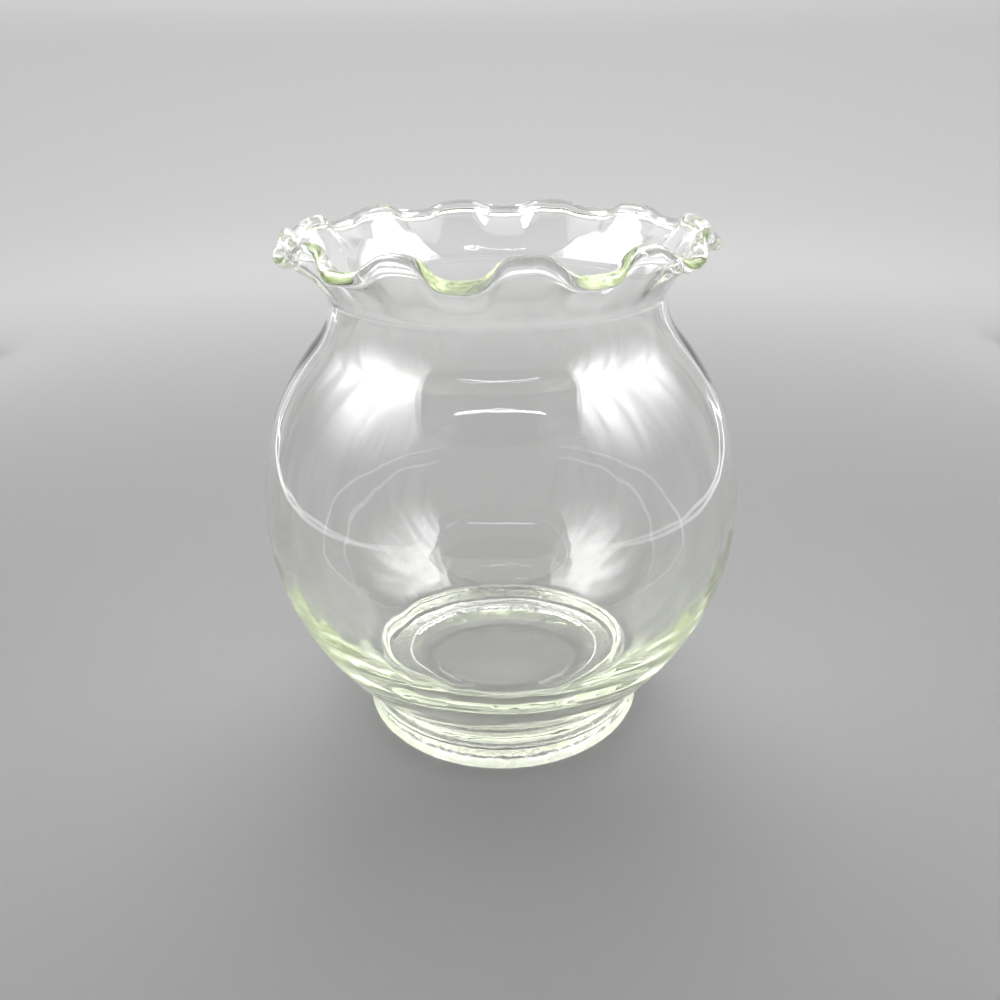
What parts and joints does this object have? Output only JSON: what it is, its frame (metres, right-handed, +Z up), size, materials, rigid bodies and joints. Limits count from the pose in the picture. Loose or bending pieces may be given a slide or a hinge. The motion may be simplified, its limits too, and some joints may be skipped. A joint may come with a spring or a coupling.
{
  "type": "rose bowl vase",
  "caption": "Clear glass rose bowl vase: a round globe on a low foot ring, with a drawn-in neck and a flared, crimped rim, for short-stemmed flowers.",
  "frame": {"origin": "centre of the foot ring, on the surface that the vase stands on", "axes": "+Z up along the vessel's axis, and -Y towards the front, the side that the picture shows"},
  "size_m": [0.1208, 0.1208, 0.13],
  "materials": {
    "glass": "clear pressed glass with a faint green tint, fire-polished at the rim"
  },
  "bodies": {
    "root": {"foot_ring": "glass", "base_disc": "glass", "heel": "glass", "lower_belly": "glass", "upper_belly": "glass", "shoulder": "glass", "neck": "glass", "crimped_rim": "glass"}
  },
  "joints": []
}
